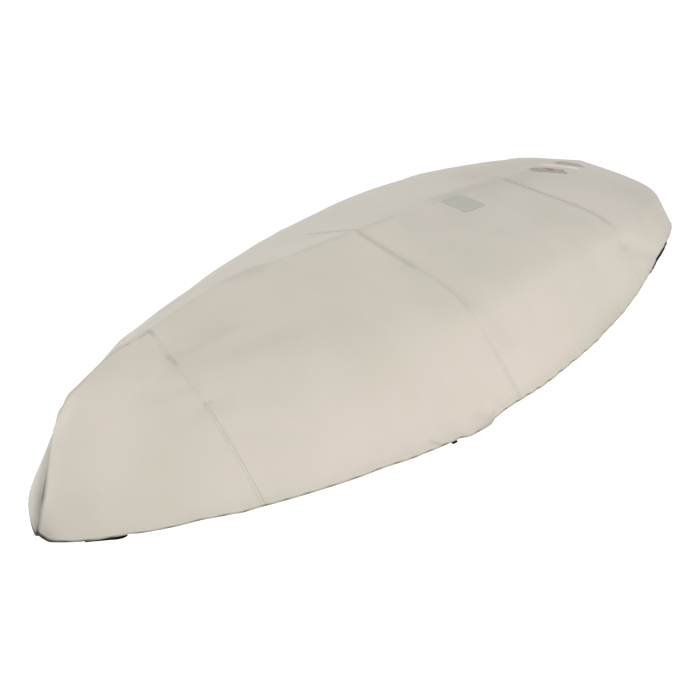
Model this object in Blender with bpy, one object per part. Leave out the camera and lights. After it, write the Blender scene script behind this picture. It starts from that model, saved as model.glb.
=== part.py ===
"""Fitted cover of a small open boat: five cloth panels drawn over the hull as a taut, hollow dome.

X runs from bow to stern, port is -Y and +Z is up. The origin is where the boat's ridge support carries
the cloth, just under the ridge at the middle cross seam. All sizes are in metres.
"""

import math
from collections import namedtuple

import bmesh
import bpy
import numpy as np

# ---- driving sizes ----
CLOTH_THICKNESS = 0.002
PIECE_GAP = 0.0003
SEAM_WIDTH = 0.015
SEAM_LIFT = 0.0012
CASING_WIDTH = 0.026
CASING_LIFT = 0.0015
STEP_WIDTH = 0.003
PATCH_THICKNESS = 0.0012
WEBBING_THICKNESS = 0.0016
SUPPORT_CLEARANCE = 0.002
ROW_SPACING = 0.11

# The shape in which the cover hangs. Each row is one section, from the ridge over the shoulder to the
# hem: x aft of the stem's foot, y out from the centre plane, z up from the stem's foot. "bend" is the
# share of the roof and of the side that the shoulder's bend takes up.
SECTION_COLUMNS = ("ridge_x", "ridge_z", "shoulder_y", "shoulder_z", "hem_x", "hem_y", "hem_z", "bend")
SECTIONS = (
    (0.140, 0.405, 0.000, 0.230, 0.000, 0.000, 0.000, 0.92),  # stem, in the centre plane
    (0.210, 0.495, 0.045, 0.285, 0.025, 0.050, -0.055, 0.92),
    (0.310, 0.550, 0.125, 0.345, 0.120, 0.195, -0.045, 0.92),
    (0.465, 0.610, 0.210, 0.365, 0.360, 0.400, -0.020, 0.90),
    (0.690, 0.630, 0.310, 0.390, 0.690, 0.605, -0.010, 0.74),  # first cross seam
    (1.120, 0.680, 0.460, 0.445, 1.270, 0.840, -0.010, 0.54),
    (1.620, 0.665, 0.570, 0.450, 1.810, 0.975, -0.035, 0.36),
    (2.155, 0.640, 0.650, 0.435, 2.155, 0.985, -0.005, 0.25),  # middle cross seam
    (2.890, 0.585, 0.685, 0.455, 2.870, 1.020, 0.025, 0.25),
    (3.620, 0.520, 0.690, 0.430, 3.620, 0.920, 0.075, 0.32),  # last cross seam
    (4.100, 0.475, 0.610, 0.385, 4.030, 0.850, 0.110, 0.45),
    (4.440, 0.420, 0.540, 0.345, 4.300, 0.775, 0.130, 0.46),
    (4.660, 0.350, 0.505, 0.330, 4.460, 0.715, 0.140, 0.38),
    (4.700, 0.155, 0.530, 0.210, 4.530, 0.675, 0.130, 0.20),  # stern hem, down on the transom
)
STEM, FIRST_SEAM, MIDDLE_SEAM, LAST_SEAM, STERN_HEM = 0, 4, 7, 9, 13
SHOULDER_SHARE = 0.58
SHOULDER_LEAN = 0.6
RIDGE, HEM = 0.0, 1.0
PORT, STARBOARD = -1, 1

# Soft folds, each a trough along a straight line between two places on the cloth. A place is a section
# number and the share of the way from ridge to hem.
FOLD_COLUMNS = ("side", "from_section", "from_share", "to_section", "to_share", "half_width", "depth")
FOLDS = (
    (PORT, 4.0, 0.15, 4.6, 0.21, 0.050, 0.006),
    (PORT, 4.0, 0.24, 5.3, 0.39, 0.055, 0.009),
    (PORT, 3.9, 0.52, 4.2, 0.53, 0.050, 0.005),
    (PORT, 9.0, 0.74, 9.9, 1.00, 0.050, 0.008),
    (STARBOARD, 4.0, 0.20, 5.1, 0.33, 0.055, 0.008),
    (STARBOARD, 9.1, 0.78, 9.9, 1.00, 0.050, 0.007),
)

# Slack in the hem: at which section, how far along the hem it reaches, and how far the cloth stands out
# and hangs down there. The starboard side has STARBOARD_SLACK of it.
SLACK_COLUMNS = ("section", "half_width", "out", "down")
SLACK = (
    (2.10, 0.060, 0.002, 0.008),
    (3.90, 0.050, -0.008, 0.002),
    (5.20, 0.070, 0.008, 0.008),
    (6.25, 0.090, 0.014, 0.016),
    (6.75, 0.070, -0.012, -0.008),
    (8.45, 0.070, 0.006, 0.006),
)
STARBOARD_SLACK = 0.6
SLACK_REACH = 0.16
HEM_WAVE_HEIGHT = 0.003
HEM_WAVE_LENGTHS = (0.37, 0.23)

# The hem's elastic curls the cloth under. Each step is how far the cloth runs on past the hem line, how
# far it has come inward and how far it has turned, in degrees. Step 0 is the cloth above the hem line.
CURL_COLUMNS = ("past_hem", "inward", "turned")
CURL = (
    (0.0, 0.0, 0.0),
    (0.0, 0.0, 8.0),
    (0.0045, 0.0030, 50.0),
    (0.0060, 0.0085, 90.0),
)

# Shares of the way from ridge to hem at which the cloth has a line of corners.
SHARES = (0.06, 0.13, 0.20, 0.27, 0.34, 0.42, 0.50, 0.58, 0.66, 0.74, 0.82, 0.90)

# The reinforcing patch lies beside the ridge on the port side, at these sections and distances down.
PATCH_SECTIONS = (8.03, 8.12, 8.21, 8.30)
PATCH_GIRTHS = (0.020, 0.077, 0.133, 0.190)
PATCH_CLEARANCE = 0.0004

# Webbing sewn inside the hem. "drop" is how far its lower edge hangs below the curl, at its ends and at
# its middle.
STRAP_COLUMNS = ("name", "from_section", "to_section", "height", "end_drop", "middle_drop")
STRAPS = (
    ("bow_loop", 1.85, 2.45, 0.022, 0.001, 0.015),
    ("side_tab", 5.665, 5.715, 0.045, 0.015, 0.016),
    ("stern_strap", 9.44, 10.60, 0.022, 0.001, 0.015),
)

CLOTH_IVORY = (0.665, 0.620, 0.545, 1.0)
PATCH_GREY = (0.520, 0.510, 0.480, 1.0)
WEBBING_BLACK = (0.012, 0.011, 0.010, 1.0)


# ---- the cloth's middle surface ----
def section_values(section):
    """The table's columns at a section number, by monotone cubics, so that no column overshoots a row."""
    table = np.array(SECTIONS)
    steps = np.diff(table, axis=0)
    slopes = np.zeros_like(table)
    slopes[0], slopes[-1] = steps[0], steps[-1]
    before, after = steps[:-1], steps[1:]
    same_way = before * after > 0
    slopes[1:-1][same_way] = 2 * (before * after)[same_way] / (before + after)[same_way]
    low = min(int(section), STERN_HEM - 1)
    t = section - low
    return (
        (2 * t**3 - 3 * t**2 + 1) * table[low]
        + (t**3 - 2 * t**2 + t) * slopes[low]
        + (3 * t**2 - 2 * t**3) * table[low + 1]
        + (t**3 - t**2) * slopes[low + 1]
    )


def plain_point(section, share):
    """The taut surface on the +Y side: a straight roof, a bend at the shoulder and a straight side."""
    ridge_x, ridge_z, shoulder_y, shoulder_z, hem_x, hem_y, hem_z, bend = section_values(section)
    ridge = np.array((ridge_x, 0.0, ridge_z))
    shoulder = np.array((hem_x + SHOULDER_LEAN * (ridge_x - hem_x), shoulder_y, shoulder_z))
    hem = np.array((hem_x, hem_y, hem_z))
    roof_end = shoulder + bend * (ridge - shoulder)
    side_start = shoulder + bend * (hem - shoulder)
    roof_share = SHOULDER_SHARE * (1 - bend)
    side_share = SHOULDER_SHARE + (1 - SHOULDER_SHARE) * bend
    if share < roof_share:
        return ridge + (roof_end - ridge) * share / roof_share
    if share > side_share:
        return side_start + (hem - side_start) * (share - side_share) / (1 - side_share)
    t = (share - roof_share) / (side_share - roof_share)
    return (1 - t) ** 2 * roof_end + 2 * t * (1 - t) * shoulder + t**2 * side_start


def unit(vector):
    return vector / np.linalg.norm(vector)


def bell(distance, half_width):
    return math.exp(-((distance / half_width) ** 2))


def distance_to_line(point, start, end):
    along = end - start
    t = np.clip(np.dot(point - start, along) / np.dot(along, along), 0.0, 1.0)
    return np.linalg.norm(point - start - t * along)


def fold_depth(side, point):
    depth = 0.0
    for fold_side, from_section, from_share, to_section, to_share, half_width, deep in FOLDS:
        if side == fold_side:
            start = plain_point(from_section, from_share)
            end = plain_point(to_section, to_share)
            depth += deep * bell(distance_to_line(point, start, end), half_width)
    return depth


def slack(side, section, point):
    """How far the slack hem stands out and hangs down here, fading out up the side."""
    hem_point = plain_point(section, HEM)
    wave = sum(math.sin(2 * math.pi * hem_point[0] / length) for length in HEM_WAVE_LENGTHS)
    out, down = 0.0, -side * HEM_WAVE_HEIGHT * wave
    for place, half_width, far_out, far_down in SLACK:
        near = bell(np.linalg.norm(hem_point - plain_point(place, HEM)), half_width)
        near *= STARBOARD_SLACK if side == STARBOARD else 1.0
        out += far_out * near
        down += far_down * near
    fade = max(0.0, 1 - np.linalg.norm(hem_point - point) / SLACK_REACH) ** 2
    return out * fade, down * fade


def cloth_frame(side, section, share, aft_shift=0.0, down_shift=0.0):
    """A point of the hanging cloth, the directions aft and down along the cloth, and its outward normal.

    The point can be shifted along the cloth from its place in the table.
    """
    reach = 0.02
    aft = unit(
        plain_point(min(section + reach, STERN_HEM), share) - plain_point(max(section - reach, STEM), share)
    )
    down = unit(
        plain_point(section, min(share + reach, HEM)) - plain_point(section, max(share - reach, RIDGE))
    )
    normal = unit(np.cross(aft, down))
    point = plain_point(section, share) + aft * aft_shift + down * down_shift
    out, drop = slack(side, section, point)
    point = point + normal * (out - fold_depth(side, point)) - np.array((0.0, 0.0, drop))
    mirror = np.array((1.0, side, 1.0))
    return point * mirror, aft * mirror, down * mirror, normal * mirror


def centre_frame(side, section, share, aft_shift, down_shift):
    """As cloth_frame, in the centre plane, where the two sides meet in a mitre along stem and ridge."""
    longest_mitre = 2.0
    point, aft, down, normal = cloth_frame(side, section, share, aft_shift, down_shift)
    along = np.zeros(3)
    if share == RIDGE:
        along += aft
    if section == STEM:
        along -= down
    mitre = unit(np.array((-along[2], 0.0, along[0])))
    return point, aft, down, mitre / max(np.dot(mitre, normal), 1 / longest_mitre)


# ---- from the surface to pieces ----
# A station is one line of corners along or across the cloth: its place in the table, how far it is shifted
# along the cloth from there, how much thicker the cloth is there and its step of the curl.
Station = namedtuple("Station", ("place", "shift", "lift", "curl"), defaults=(0.0, 0.0, 0))


def lapped_edge(place):
    """The felled seam on the edge that laps over its neighbour, and the step down from it."""
    return [
        Station(place, PIECE_GAP / 2, SEAM_LIFT),
        Station(place, SEAM_WIDTH - STEP_WIDTH, SEAM_LIFT),
        Station(place, SEAM_WIDTH),
    ]


def hem_edge(place):
    """The step up to the hem's casing, the casing and its curl."""
    casing = [Station(place, 0.0, CASING_LIFT, curl) for curl in range(1, len(CURL))]
    return [Station(place, -CASING_WIDTH - STEP_WIDTH), Station(place, -CASING_WIDTH, CASING_LIFT)] + casing


def rows_between(start, end):
    """Section numbers between two seams, spaced evenly within each section of the table."""
    sections = []
    for low in range(start, end):
        spans = [plain_point(low + 1, share) - plain_point(low, share) for share in (RIDGE, HEM)]
        count = max(3, round(max(np.linalg.norm(span) for span in spans) / ROW_SPACING))
        sections += [low + i / count for i in range(count)]
    return sections[1:]


def corners(side, row, column, halved):
    """The outer and the inner corner of the cloth where two stations cross."""
    in_centre = column.place == RIDGE or row.place == STEM
    frame = centre_frame if in_centre else cloth_frame
    point, aft, down, normal = frame(side, row.place, column.place, row.shift, column.shift)
    past_hem, inward, turned = CURL[max(row.curl, column.curl)]
    across = normal
    if row.curl or column.curl:
        out = unit(aft * row.curl + down * column.curl)
        point = point + out * past_hem - normal * inward
        across = normal * math.cos(math.radians(turned)) + out * math.sin(math.radians(turned))
    outer = point + across * (CLOTH_THICKNESS / 2 + max(row.lift, column.lift))
    inner = point - across * CLOTH_THICKNESS / 2
    if halved:
        for corner in (outer, inner):
            off_centre = PIECE_GAP / 2 if in_centre else max(side * corner[1], PIECE_GAP / 2)
            corner[1] = side * off_centre
    return outer, inner


def to_origin(point):
    middle_ridge = plain_point(MIDDLE_SEAM, RIDGE)
    support = middle_ridge - np.array((0.0, 0.0, CLOTH_THICKNESS / 2 + SUPPORT_CLEARANCE))
    return point - support


def add_sheet(name, grid, material, turned_columns=0):
    """A closed solid from rows of (outer, inner) corners, whose rows follow each other aft.

    In the first turned_columns columns the quads split along their other diagonal.
    """
    mesh_edit = bmesh.new()
    outer = [[mesh_edit.verts.new(to_origin(pair[0])) for pair in row] for row in grid]
    inner = [[mesh_edit.verts.new(to_origin(pair[1])) for pair in row] for row in grid]
    last_row, last_column = len(grid) - 1, len(grid[0]) - 1
    for i in range(last_row):
        for j in range(last_column):
            ring = [(i, j), (i + 1, j), (i + 1, j + 1), (i, j + 1)]
            if j < turned_columns:
                ring = ring[1:] + ring[:1]
            mesh_edit.faces.new([outer[a][b] for a, b in ring])
            mesh_edit.faces.new([inner[a][b] for a, b in ring[:1] + ring[:0:-1]])
    rim = [(i, 0) for i in range(last_row)]
    rim += [(last_row, j) for j in range(last_column)]
    rim += [(i, last_column) for i in range(last_row, 0, -1)]
    rim += [(0, j) for j in range(last_column, 0, -1)]
    for (a, b), (c, d) in zip(rim, rim[1:] + rim[:1]):
        mesh_edit.faces.new((outer[c][d], outer[a][b], inner[a][b], inner[c][d]))
    mesh = bpy.data.meshes.new(name)
    mesh_edit.to_mesh(mesh)
    mesh_edit.free()
    mesh.shade_smooth()
    mesh.set_sharp_from_angle(angle=math.radians(50))
    mesh.materials.append(material)
    bpy.context.scene.collection.objects.link(bpy.data.objects.new(name, mesh))


def add_material(name, colour, roughness):
    material = bpy.data.materials.new(name)
    material.use_nodes = True
    shader = material.node_tree.nodes["Principled BSDF"]
    shader.inputs["Base Color"].default_value = colour
    shader.inputs["Roughness"].default_value = roughness
    material.diffuse_color = colour
    return material


# ---- pieces ----
def add_panel(name, rows, material, sides=(PORT, STARBOARD)):
    """A cloth panel from hem to hem, or from the centre seam to the hem where it has one side only."""
    half = [Station(share) for share in SHARES] + hem_edge(HEM)
    columns = [(STARBOARD if STARBOARD in sides else PORT, Station(RIDGE))]
    if PORT in sides:
        columns = [(PORT, station) for station in reversed(half)] + columns
    if STARBOARD in sides:
        columns += [(STARBOARD, station) for station in half]
    halved = len(sides) == 1
    grid = [[corners(side, row, column, halved) for side, column in columns] for row in rows]
    add_sheet(name, grid, material, turned_columns=len(half) if PORT in sides else 0)


def add_bow_panels(material):
    rows = [Station(STEM)]
    rows += [Station(section) for section in rows_between(STEM, FIRST_SEAM)]
    rows += [Station(FIRST_SEAM, -PIECE_GAP / 2)]
    add_panel("bow_panel_port", rows, material, sides=(PORT,))
    add_panel("bow_panel_starboard", rows, material, sides=(STARBOARD,))


def add_cross_panel(name, start, end, material):
    rows = lapped_edge(start)
    rows += [Station(section) for section in rows_between(start, end)]
    rows += [Station(end, -PIECE_GAP / 2)]
    add_panel(name, rows, material)


def add_stern_panel(material):
    """The last panel: its casing takes the place of the last row before the stern hem."""
    rows = lapped_edge(LAST_SEAM)
    rows += [Station(section) for section in rows_between(LAST_SEAM, STERN_HEM)[:-1]]
    rows += hem_edge(STERN_HEM)
    add_panel("stern_panel", rows, material)


def add_pole_patch(material):
    grid = []
    for section in PATCH_SECTIONS:
        row = []
        for girth in reversed(PATCH_GIRTHS):
            point, _, _, normal = cloth_frame(PORT, section, RIDGE, down_shift=girth)
            inner = point + normal * (CLOTH_THICKNESS / 2 + PATCH_CLEARANCE)
            row.append((inner + normal * PATCH_THICKNESS, inner))
        grid.append(row)
    add_sheet("pole_patch", grid, material)


def hem_frames(side, start, end):
    """Frames along the hem, on the straight lines that join the panels' rows."""
    rows = [STEM] + rows_between(STEM, STERN_HEM) + [STERN_HEM]
    places = [start] + [row for row in rows if start < row < end] + [end]
    frames = []
    for place in places:
        high = next(i for i, row in enumerate(rows) if row >= place)
        before, after = rows[high - 1], rows[high]
        t = (place - before) / (after - before)
        low_frame = np.array(cloth_frame(side, before, HEM))
        high_frame = np.array(cloth_frame(side, after, HEM))
        frames.append((1 - t) * low_frame + t * high_frame)
    return frames


def add_strap(name, side, start, end, height, end_drop, middle_drop, material):
    """Webbing along the inside of the hem, whose lower edge sags below the curl.

    It has lines of corners level with the curl's rim, so that it keeps its gap to the rim where it twists.
    """
    curl_length, curl_depth, _ = CURL[-1]
    curl_top = curl_length - CLOTH_THICKNESS / 2
    curl_bottom = curl_length + CLOTH_THICKNESS / 2 + CASING_LIFT
    frames = hem_frames(side, start, end)
    grid = []
    for i, (point, _, down, normal) in enumerate(frames):
        u = 2 * i / (len(frames) - 1) - 1
        lower = curl_bottom + middle_drop + (end_drop - middle_drop) * u**2
        outer_face = point - normal * (curl_depth + PIECE_GAP)
        row = []
        for along in (lower - height, curl_top, curl_bottom, lower):
            outer = outer_face + down * along
            row.append((outer, outer - normal * WEBBING_THICKNESS))
        grid.append(row if side == STARBOARD else row[::-1])
    add_sheet(name, grid, material)


for leftover in list(bpy.data.objects):
    bpy.data.objects.remove(leftover)

cloth = add_material("coated polyester, ivory", CLOTH_IVORY, 0.75)
add_bow_panels(cloth)
add_cross_panel("fore_panel", FIRST_SEAM, MIDDLE_SEAM, cloth)
add_cross_panel("mid_panel", MIDDLE_SEAM, LAST_SEAM, cloth)
add_stern_panel(cloth)
add_pole_patch(add_material("reinforcing cloth, grey", PATCH_GREY, 0.8))
webbing = add_material("polypropylene webbing, black", WEBBING_BLACK, 0.7)
for strap_name, *strap_sizes in STRAPS:
    add_strap(strap_name + "_port", PORT, *strap_sizes, webbing)
    add_strap(strap_name + "_starboard", STARBOARD, *strap_sizes, webbing)
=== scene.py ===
"""A fitted cover of a small open boat: ivory coated polyester drawn taut over the hull by an elastic hem.

X runs from bow to stern, port is -Y and +Z is up. Sizes are in metres. A place on the cloth is a section
number and the share of the way from the ridge down to the hem.
"""

import math

import bpy
import numpy as np
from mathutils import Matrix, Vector


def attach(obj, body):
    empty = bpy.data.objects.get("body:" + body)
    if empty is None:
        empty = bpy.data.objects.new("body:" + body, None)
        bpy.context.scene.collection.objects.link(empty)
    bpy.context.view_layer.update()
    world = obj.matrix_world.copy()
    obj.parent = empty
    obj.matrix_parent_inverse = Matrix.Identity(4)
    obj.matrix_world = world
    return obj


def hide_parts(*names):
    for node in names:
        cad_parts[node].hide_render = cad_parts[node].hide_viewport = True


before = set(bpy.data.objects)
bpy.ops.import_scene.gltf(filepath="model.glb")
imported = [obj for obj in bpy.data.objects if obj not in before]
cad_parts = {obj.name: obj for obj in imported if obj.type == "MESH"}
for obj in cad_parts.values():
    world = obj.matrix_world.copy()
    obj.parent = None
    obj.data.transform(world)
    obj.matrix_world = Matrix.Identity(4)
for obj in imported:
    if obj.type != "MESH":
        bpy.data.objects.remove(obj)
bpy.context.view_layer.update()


# ---- Bow panels ----
# Two mirrored halves of coated polyester, cut to the stem's rake. They are sewn to each other along the
# stem and the ridge, where the port half laps over, and their lower edge is turned up into the casing that
# holds the hem's elastic.

CLOTH_THICKNESS = 0.002
PIECE_GAP = 0.0003
SUPPORT_CLEARANCE = 0.002
PORT, STARBOARD = -1, 1
SIDES = ((PORT, "port"), (STARBOARD, "starboard"))
ON_PORT, ON_STARBOARD, ON_BOTH = (PORT,), (STARBOARD,), (PORT, STARBOARD)

# The shape in which the cover hangs. Each row is one section, from the ridge over the shoulder to the
# hem: x aft of the stem's foot, y out from the centre plane, z up from the stem's foot. "bend" is the
# share of the roof and of the side that the shoulder's bend takes up.
SECTIONS = np.array(
    (
        # ridge x, ridge z, shoulder y, shoulder z, hem x, hem y, hem z, bend
        (0.140, 0.405, 0.000, 0.230, 0.000, 0.000, 0.000, 0.92),  # stem, in the centre plane
        (0.210, 0.495, 0.045, 0.285, 0.025, 0.050, -0.055, 0.92),
        (0.310, 0.550, 0.125, 0.345, 0.120, 0.195, -0.045, 0.92),
        (0.465, 0.610, 0.210, 0.365, 0.360, 0.400, -0.020, 0.90),
        (0.690, 0.630, 0.310, 0.390, 0.690, 0.605, -0.010, 0.74),  # first cross seam
        (1.120, 0.680, 0.460, 0.445, 1.270, 0.840, -0.010, 0.54),
        (1.620, 0.665, 0.570, 0.450, 1.810, 0.975, -0.035, 0.36),
        (2.155, 0.640, 0.650, 0.435, 2.155, 0.985, -0.005, 0.25),  # middle cross seam
        (2.890, 0.585, 0.685, 0.455, 2.870, 1.020, 0.025, 0.25),
        (3.620, 0.520, 0.690, 0.430, 3.620, 0.920, 0.075, 0.32),  # last cross seam
        (4.100, 0.475, 0.610, 0.385, 4.030, 0.850, 0.110, 0.45),
        (4.440, 0.420, 0.540, 0.345, 4.300, 0.775, 0.130, 0.46),
        (4.660, 0.350, 0.505, 0.330, 4.460, 0.715, 0.140, 0.38),
        (4.700, 0.155, 0.530, 0.210, 4.530, 0.675, 0.130, 0.20),  # stern hem, down on the transom
    )
)
STEM, FIRST_SEAM, MIDDLE_SEAM, LAST_SEAM, STERN_HEM = 0, 4, 7, 9, 13
# The shoulder's share of the way from ridge to hem, and how far its x lies from the hem's to the ridge's.
SHOULDER_SHARE = 0.58
SHOULDER_LEAN = 0.6

# Soft troughs in the taut cloth, each along a line of places. A trough of negative depth is a ridge, and
# one of no depth is only painted shade. Each darkens the cloth by its share of painted shade, the shade that
# falls in a crease.
FOLDS = (
    # sides, places, half width, depth, share of painted shade in it

    # creases that the first cross seam draws across the cloth, and short tucks in the seam itself
    (ON_PORT, ((3.2, 0.30), (3.6, 0.36), (3.98, 0.40)), 0.030, 0.003, 0.0),
    (ON_PORT, ((3.9, 0.52), (4.2, 0.53)), 0.050, 0.005, 0.03),
    (ON_PORT, ((4.0, 0.15), (4.6, 0.21)), 0.050, 0.006, 0.03),
    (ON_PORT, ((4.0, 0.20), (4.35, 0.235), (4.8, 0.25)), 0.018, 0.003, 0.03),
    (ON_PORT, ((4.0, 0.24), (4.5, 0.325), (5.3, 0.39)), 0.055, 0.009, 0.04),
    (ON_PORT, ((4.02, 0.66), (4.3, 0.71), (4.6, 0.80)), 0.045, 0.003, 0.0),
    (ON_STARBOARD, ((3.3, 0.28), (3.98, 0.36)), 0.030, 0.003, 0.0),
    (ON_STARBOARD, ((4.0, 0.20), (5.1, 0.33)), 0.055, 0.008, 0.03),
    (ON_PORT, ((4.00, 0.01), (4.01, 0.04)), 0.009, 0.003, 0.22),
    (ON_PORT, ((3.99, 0.205), (4.015, 0.25)), 0.012, 0.003, 0.10),
    (ON_PORT, ((4.02, 0.50), (4.07, 0.505)), 0.012, 0.003, 0.07),

    # hollows where the other two cross seams are drawn tight, and creases that run on from them
    (ON_PORT, ((7.0, 0.04), (7.0, 0.20), (7.0, 0.31)), 0.034, 0.007, 0.09),
    (ON_PORT, ((7.0, 0.46), (7.02, 0.58)), 0.026, 0.004, 0.03),
    (ON_PORT, ((7.05, 0.58), (7.16, 0.68), (7.20, 0.80)), 0.050, 0.003, 0.03),
    (ON_PORT, ((8.0, 0.30), (8.5, 0.40), (8.95, 0.44)), 0.070, 0.003, 0.0),
    (ON_PORT, ((9.0, 0.04), (9.0, 0.25), (9.0, 0.42), (9.0, 0.56)), 0.034, 0.006, 0.08),
    (ON_PORT, ((9.0, 0.74), (9.3, 0.83), (9.9, 1.00)), 0.050, 0.008, 0.03),
    (ON_PORT, ((10.2, 0.30), (10.9, 0.42), (11.5, 0.60)), 0.045, 0.004, 0.0),
    (ON_STARBOARD, ((7.0, 0.03), (7.0, 0.25)), 0.028, 0.005, 0.06),
    (ON_STARBOARD, ((9.0, 0.08), (9.0, 0.30), (9.0, 0.50)), 0.028, 0.0015, 0.0),
    (ON_STARBOARD, ((9.1, 0.78), (9.9, 1.00)), 0.050, 0.007, 0.03),

    # rises and dips of the ridge over the bow, and a fine crease beside it further aft
    (ON_BOTH, ((0.45, 0.0), (0.55, 0.0)), 0.030, -0.006, 0.0),
    (ON_BOTH, ((0.84, 0.0), (0.90, 0.0)), 0.018, 0.004, 0.0),
    (ON_BOTH, ((1.15, 0.0), (1.30, 0.0)), 0.040, -0.006, 0.0),
    (ON_BOTH, ((2.55, 0.0), (2.72, 0.0)), 0.060, 0.010, 0.0),
    (ON_PORT, ((6.05, 0.005), (6.9, 0.005)), 0.010, 0.002, 0.08),
    (ON_PORT, ((7.02, 0.01), (7.45, 0.01)), 0.013, 0.003, 0.08),
    (ON_PORT, ((7.50, 0.04), (7.8, 0.05)), 0.012, -0.003, 0.0),
    (ON_PORT, ((7.95, 0.01), (8.5, 0.01), (9.0, 0.00), (9.8, 0.00)), 0.018, 0.003, 0.07),

    # swells and hollows along the shoulders
    (ON_STARBOARD, ((4.3, 0.70), (4.6, 0.66)), 0.090, -0.020, 0.0),
    (ON_STARBOARD, ((5.1, 0.52), (5.7, 0.54)), 0.130, 0.009, 0.0),
    (ON_STARBOARD, ((6.3, 0.58), (6.6, 0.58)), 0.090, 0.004, 0.0),
    (ON_STARBOARD, ((7.05, 0.56), (7.3, 0.57)), 0.090, -0.007, 0.0),
    (ON_STARBOARD, ((8.6, 0.55), (9.5, 0.51)), 0.180, 0.005, 0.0),
    (ON_STARBOARD, ((9.6, 0.48), (9.85, 0.47)), 0.080, -0.006, 0.0),
    (ON_STARBOARD, ((10.3, 0.42), (10.5, 0.41)), 0.100, -0.006, 0.0),
    (ON_STARBOARD, ((10.8, 0.42), (11.3, 0.46)), 0.100, -0.004, 0.0),
    (ON_STARBOARD, ((11.7, 0.46), (11.9, 0.46)), 0.100, 0.004, 0.0),
    (ON_PORT, ((11.8, 0.44), (12.1, 0.44)), 0.110, 0.006, 0.0),

    # dents and a rolled edge in the slack of the hem amidships
    (ON_PORT, ((5.45, 0.97), (5.52, 1.00)), 0.012, 0.004, 0.14),
    (ON_PORT, ((5.95, 0.992), (6.1, 0.992), (6.3, 0.991), (6.42, 0.98)), 0.005, 0.0015, 0.12),
    (ON_PORT, ((6.15, 0.94), (6.25, 0.97)), 0.018, 0.004, 0.0),
    (ON_PORT, ((6.5, 0.93), (6.58, 0.98)), 0.026, -0.004, 0.0),
    (ON_STARBOARD, ((5.9, 0.88), (6.1, 0.98)), 0.024, 0.005, 0.05),

    # painted shade on the roof beside the ridge
    (ON_PORT, ((5.25, 0.0), (5.6, 0.0)), 0.035, 0.0, 0.08),
    (ON_PORT, ((7.6, 0.10), (9.0, 0.08), (10.4, 0.08)), 0.170, 0.0, 0.05),
    (ON_PORT, ((8.55, 0.04), (10.2, 0.04)), 0.090, 0.0, 0.06),
    (ON_STARBOARD, ((4.7, 0.20), (5.6, 0.20)), 0.200, 0.0, 0.03),
    (ON_STARBOARD, ((5.2, 0.05), (5.65, 0.05)), 0.055, 0.0, 0.18),
    (ON_STARBOARD, ((7.5, 0.02), (8.6, 0.02)), 0.090, 0.0, 0.05),
    (ON_STARBOARD, ((8.05, 0.02), (9.0, 0.02)), 0.045, 0.0, 0.10),
    (ON_STARBOARD, ((9.0, 0.15), (10.6, 0.15)), 0.200, 0.0, 0.10),

    # painted shade on the quarter and low on the sides, along the bow's foot, and on the starboard side
    # beside the stem, which faces away from the light
    (ON_PORT, ((10.2, 0.45), (11.2, 0.62)), 0.200, 0.0, 0.04),
    (ON_PORT, ((6.1, 1.00), (7.5, 1.00), (9.4, 1.00)), 0.060, 0.0, 0.05),
    (ON_PORT, ((1.2, 0.88), (2.6, 0.88)), 0.110, 0.0, 0.04),
    (ON_BOTH, ((0.0, 1.0), (0.9, 1.0)), 0.028, 0.0, 0.16),
    (ON_PORT, ((0.05, 0.90), (0.7, 1.00)), 0.045, 0.002, 0.16),
    (ON_STARBOARD, ((0.0, 1.0), (0.35, 1.0)), 0.020, 0.0, 0.50),
    (ON_STARBOARD, ((0.2, 0.25), (0.3, 0.70)), 0.110, 0.002, 0.27),
    (ON_STARBOARD, ((0.2, 0.85), (0.3, 1.00)), 0.090, 0.002, 0.42),
    (ON_STARBOARD, ((1.1, 0.45), (1.2, 1.00)), 0.150, 0.0, 0.11),
)

# Slack in the hem: at which section, how far it reaches ahead and astern along the hem, and how far the
# cloth stands out and hangs down there. It dies away up the cloth over SLACK_REACH. Where it hangs down by
# less than nothing, a pleat is caught in the casing and lifts the hem.
SLACK_REACH = 0.16
SLACK = (
    # sides, section, ahead, astern, out, down
    (ON_BOTH, 0.15, 0.035, 0.035, 0.000, 0.012),
    (ON_PORT, 0.08, 0.020, 0.030, 0.000, 0.007),
    (ON_BOTH, 1.20, 0.070, 0.080, 0.000, -0.004),
    (ON_BOTH, 2.20, 0.130, 0.140, 0.002, -0.013),
    (ON_STARBOARD, 1.90, 0.100, 0.120, -0.0055, 0.000),
    (ON_PORT, 2.50, 0.030, 0.030, 0.000, -0.004),
    (ON_PORT, 3.35, 0.080, 0.070, 0.000, -0.006),
    (ON_PORT, 3.80, 0.030, 0.040, -0.006, 0.005),
    (ON_STARBOARD, 3.20, 0.120, 0.120, -0.010, 0.000),
    (ON_BOTH, 4.95, 0.090, 0.060, 0.000, -0.004),
    (ON_BOTH, 5.20, 0.060, 0.050, 0.006, 0.003),
    (ON_PORT, 5.65, 0.170, 0.100, 0.002, -0.014),
    (ON_PORT, 5.70, 0.060, 0.050, 0.000, -0.007),
    (ON_PORT, 5.98, 0.070, 0.070, -0.002, -0.007),
    (ON_PORT, 6.20, 0.080, 0.030, 0.012, 0.000),
    (ON_PORT, 6.42, 0.050, 0.150, -0.010, -0.013),
    (ON_STARBOARD, 5.60, 0.120, 0.150, 0.006, -0.006),
    (ON_STARBOARD, 6.50, 0.090, 0.030, 0.010, 0.008),
    (ON_BOTH, 7.35, 0.230, 0.190, 0.003, 0.017),
    (ON_PORT, 8.02, 0.035, 0.035, 0.000, 0.007),
    (ON_BOTH, 8.15, 0.200, 0.190, 0.000, -0.024),
    (ON_PORT, 8.40, 0.050, 0.050, 0.000, -0.005),
    (ON_BOTH, 8.92, 0.090, 0.060, 0.002, 0.006),
    (ON_BOTH, 10.05, 0.230, 0.250, -0.021, -0.020),
)

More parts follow.
